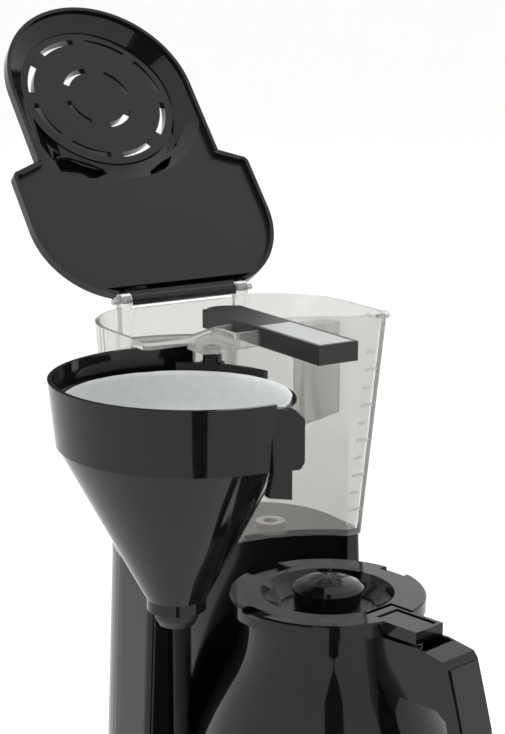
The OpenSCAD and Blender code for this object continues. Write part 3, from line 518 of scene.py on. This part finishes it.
# seamless paper: a pale, dull floor that curves up into the wall behind
def makeFloor():
    reach, bend, bendSteps = studio["reach"], studio["bend"], studio["bendSteps"]
    turns = [math.pi / 2 * i / bendSteps for i in range(bendSteps + 1)]
    curve = [(reach - bend + bend * math.sin(a), bend - bend * math.cos(a)) for a in turns]
    profile = [(-reach, 0.0)] + curve + [(reach, studio["rise"])]
    away = Vector((-studio["toCamera"][0], -studio["toCamera"][1], 0)).normalized()
    side = Vector((-away.y, away.x, 0))
    bm = bmesh.new()
    rows = []
    for along, height in profile:
        rows.append([bm.verts.new(away * along + side * s * studio["halfWidth"] + Vector((0, 0, height)))
                     for s in (-1, 1)])
    for a, b in zip(rows, rows[1:]):
        bm.faces.new((a[0], a[1], b[1], b[0])).smooth = True
    mesh = bpy.data.meshes.new("studio_floor")
    bm.to_mesh(mesh)
    floor = bpy.data.objects.new("studio_floor", mesh)
    bpy.context.scene.collection.objects.link(floor)
    material, tree, shader, place = startMaterial("pale seamless paper")
    shader.inputs["Base Color"].default_value = linear(studio["floorColour"])
    shader.inputs["Roughness"].default_value = 0.9
    shader.inputs["Specular IOR Level"].default_value = 0.1
    mesh.materials.append(material)
    floor.visible_glossy = False


makeFloor()


# light from all round, white to the camera and dark along the strip for everything else
def makeWorld():
    world = bpy.data.worlds.new("soft studio")
    bpy.context.scene.world = world
    world.use_nodes = True
    tree = world.node_tree
    tree.nodes.clear()
    place = addNode(tree, "ShaderNodeTexCoord").outputs["Generated"]
    turn = Matrix.Rotation(math.radians(studio["darkTurn"]), 3, "Z") @ Vector(studio["toCamera"])
    level = addNode(tree, "ShaderNodeVectorMath", {"operation": "MULTIPLY", 1: (1, 1, 0)}, {0: place})
    unit = addNode(tree, "ShaderNodeVectorMath", {"operation": "NORMALIZE"}, {0: level.outputs[0]})
    facing = addNode(tree, "ShaderNodeVectorMath", {"operation": "DOT_PRODUCT", 1: tuple(turn)},
                     {0: unit.outputs[0]})
    angle = addNode(tree, "ShaderNodeMath", {"operation": "ARCCOSINE"}, {0: facing.outputs["Value"]})
    height = addNode(tree, "ShaderNodeSeparateXYZ", {}, {0: place})
    share = addNode(tree, "ShaderNodeMapRange", {"From Min": -1.0, "From Max": 1.0},
                    {"Value": height.outputs["Z"]})
    half = addNode(tree, "ShaderNodeValToRGB", {}, {"Fac": share.outputs["Result"]})
    stops = half.color_ramp.elements
    while len(stops) < len(studio["darkHalf"]):
        stops.new(0.5)  # moved to its own height below
    for stop, (position, value) in zip(stops, studio["darkHalf"]):
        stop.position = position
        stop.color = (value, value, value, 1)
    inner = addNode(tree, "ShaderNodeMath", {"operation": "SUBTRACT", 1: studio["darkEdge"]},
                    {0: half.outputs["Color"]})
    dark = addNode(tree, "ShaderNodeMapRange",
                   {"interpolation_type": "SMOOTHSTEP", "To Min": studio["darkLevel"]},
                   {"Value": angle.outputs[0], "From Min": inner.outputs[0],
                    "From Max": half.outputs["Color"]})
    seen = addNode(tree, "ShaderNodeLightPath")
    shown = addNode(tree, "ShaderNodeMath", {"operation": "MAXIMUM"},
                    {0: dark.outputs["Result"], 1: seen.outputs["Is Camera Ray"]})
    back = addNode(tree, "ShaderNodeBackground", {"Color": (1, 1, 1, 1)})
    strength = addNode(tree, "ShaderNodeMath", {"operation": "MULTIPLY", 1: studio["worldStrength"]},
                       {0: shown.outputs[0]})
    tree.links.new(strength.outputs[0], back.inputs["Strength"])
    out = addNode(tree, "ShaderNodeOutputWorld")
    tree.links.new(back.outputs[0], out.inputs["Surface"])


makeWorld()

softboxes = {"overhead softbox": {"place": (-0.3, 0.1, 1.7), "aim": (0, 0, 0.3),
                                  "size": (1.2, 1.2), "power": 9},
             "left softbox": {"place": (-1.6, -0.2, 0.6), "aim": (0, 0, 0.3),
                              "size": (0.7, 1.4), "power": 7}}


def addSoftbox(name, settings):
    light = bpy.data.lights.new(name, "AREA")
    light.shape = "RECTANGLE"
    light.size, light.size_y = settings["size"]
    light.energy = settings["power"]
    box = bpy.data.objects.new(name, light)
    box.location = settings["place"]
    towards = Vector(settings["aim"]) - Vector(settings["place"])
    box.rotation_euler = towards.to_track_quat("-Z", "Y").to_euler()
    box.visible_glossy = False
    bpy.context.scene.collection.objects.link(box)


for name, settings in softboxes.items():
    addSoftbox(name, settings)
print("studio lit")

# lens and sensor are in millimetres, as on a real camera
cameraSetup = {"place": (-0.4705, -0.6991, 0.4996), "forward": (0.5232, 0.8225, -0.2229),
               "lens": 86.6, "sensorWidth": 36, "clipEnd": 40}


def makeCamera():
    data = bpy.data.cameras.new("camera")
    camera = bpy.data.objects.new("camera", data)
    bpy.context.scene.collection.objects.link(camera)
    forward = Vector(cameraSetup["forward"]).normalized()
    camera.location = cameraSetup["place"]
    camera.rotation_euler = forward.to_track_quat("-Z", "Y").to_euler()
    data.lens = cameraSetup["lens"]
    data.sensor_width = cameraSetup["sensorWidth"]
    data.clip_end = cameraSetup["clipEnd"]
    bpy.context.scene.camera = camera


makeCamera()
bpy.context.scene.view_settings.view_transform = "Standard"
print("camera placed")
